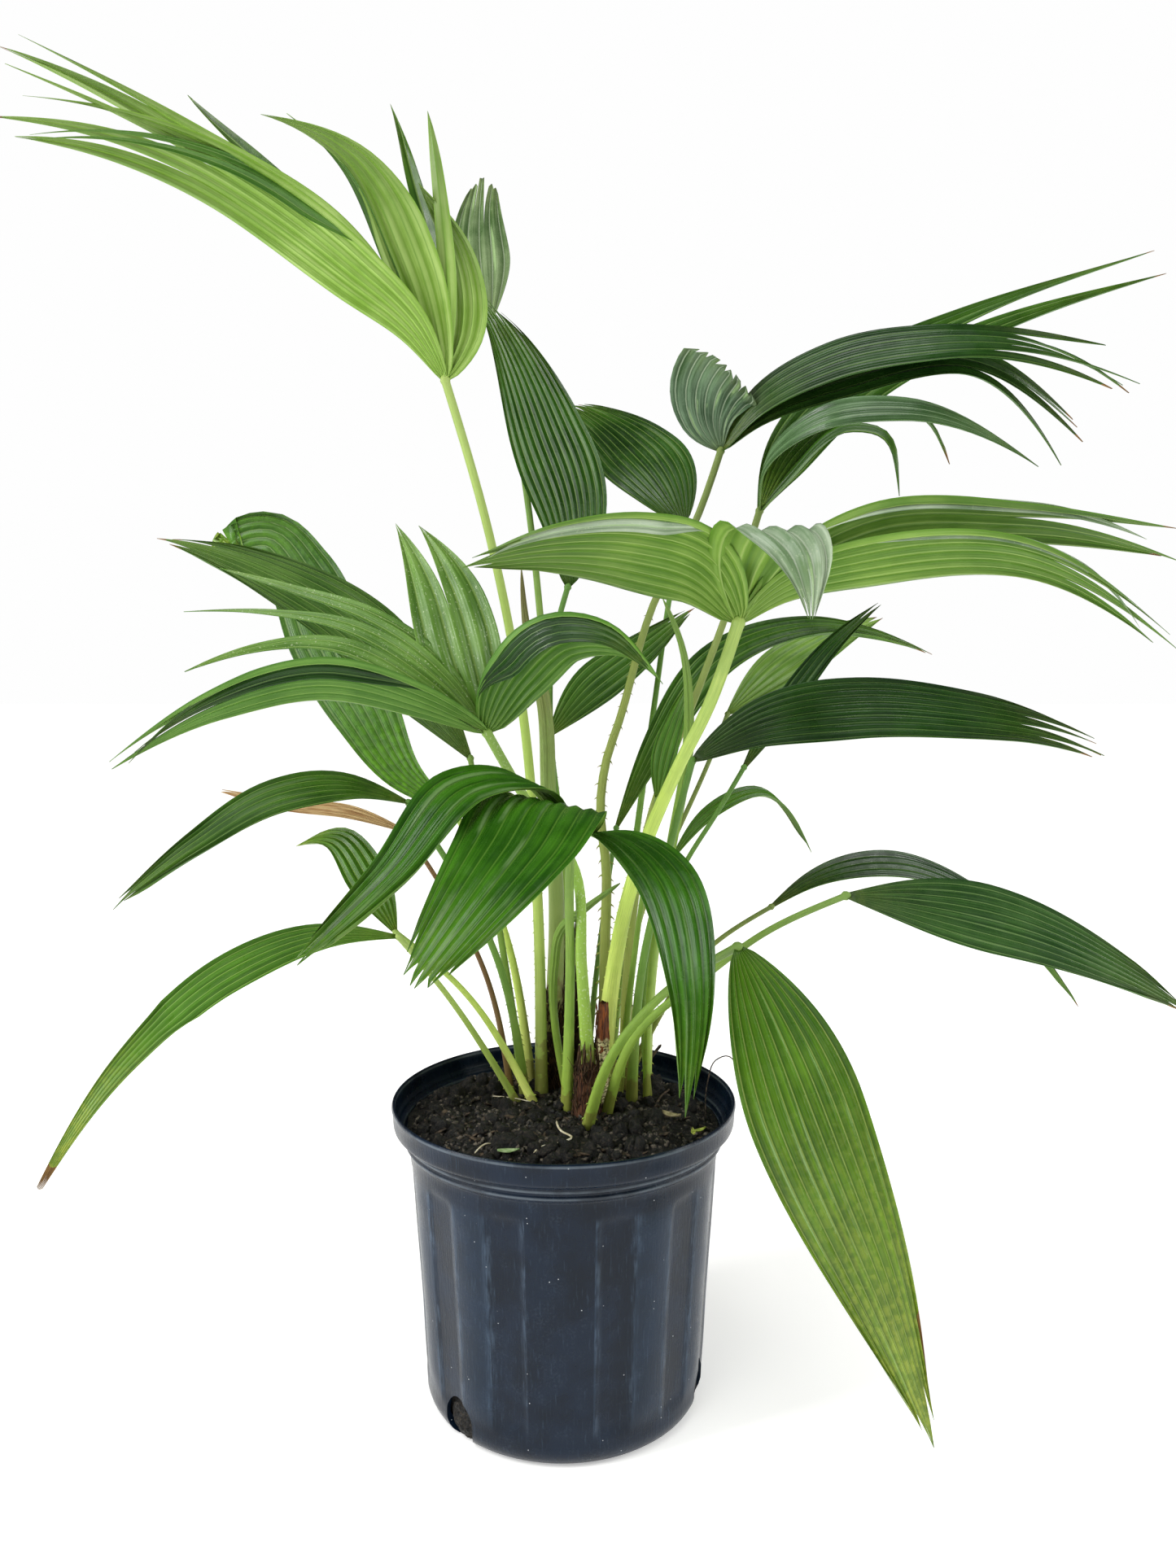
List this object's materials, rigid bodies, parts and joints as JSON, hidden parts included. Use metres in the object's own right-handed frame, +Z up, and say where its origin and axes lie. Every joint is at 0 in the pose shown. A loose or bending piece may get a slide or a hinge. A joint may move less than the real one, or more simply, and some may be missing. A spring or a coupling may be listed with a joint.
{
  "type": "potted chinese fan palm",
  "caption": "Clump of young fan palms with pleated, finger-tipped fronds on slender stalks, growing in a ribbed nursery pot filled with soil.",
  "frame": {"origin": "centre of the pot's flat underside, on the ground", "axes": "+Z up; -Y towards the viewer of the picture; +X to that viewer's right"},
  "size_m": [0.8776, 0.5729, 1.0591],
  "materials": {
    "pot_plastic": "blow-moulded black polyethylene, satin, lightly dusted and scuffed",
    "soil": "moist dark potting mix with bark",
    "blade": "pleated leaf, dark green and slightly glossy above, yellow-green below",
    "stalk": "smooth yellow-green leaf stalk with short spines",
    "stem": "old leaf bases wrapped in brown fibre",
    "dead_leaf": "dry tan leaf"
  },
  "bodies": {
    "root": {"frond_centre": "blade", "frond_centre_back": "blade", "frond_crown_back": "blade", "frond_crown_left": "blade", "frond_crown_top": "blade", "frond_front": "blade", "frond_left_arch": "blade", "frond_left_back": "blade", "frond_left_dead": "dead_leaf", "frond_left_low": "blade", "frond_left_small": "blade", "frond_left_upper": "blade", "frond_mid_left": "blade", "frond_mid_right": "blade", "frond_narrow": "blade", "frond_right_arch": "blade", "frond_right_dark": "blade", "frond_right_dark_back": "blade", "frond_right_droop": "blade", "frond_right_light": "blade", "frond_right_low": "blade", "frond_right_low_back": "blade", "frond_right_small": "blade", "frond_upper_right_back": "blade", "frond_upper_right_front": "blade", "pot": "pot_plastic", "soil": "soil", "spear_low": "stalk", "spear_side": "stalk", "spear_tall": "stalk", "stalk_centre": "stalk", "stalk_centre_back": "stalk", "stalk_crown_back": "stalk", "stalk_crown_left": "stalk", "stalk_crown_top": "stalk", "stalk_front": "stalk", "stalk_left_arch": "stalk", "stalk_left_back": "stalk", "stalk_left_dead": "dead_leaf", "stalk_left_low": "stalk", "stalk_left_small": "stalk", "stalk_left_upper": "stalk", "stalk_mid_left": "stalk", "stalk_mid_right": "stalk", "stalk_narrow": "stalk", "stalk_right_arch": "stalk", "stalk_right_dark": "stalk", "stalk_right_dark_back": "stalk", "stalk_right_droop": "stalk", "stalk_right_light": "stalk", "stalk_right_low": "stalk", "stalk_right_low_back": "stalk", "stalk_right_small": "stalk", "stalk_upper_right_back": "stalk", "stalk_upper_right_front": "stalk", "stem_back": "stem", "stem_front": "stem", "stem_side": "stem", "stub_brown": "stem"}
  },
  "joints": []
}
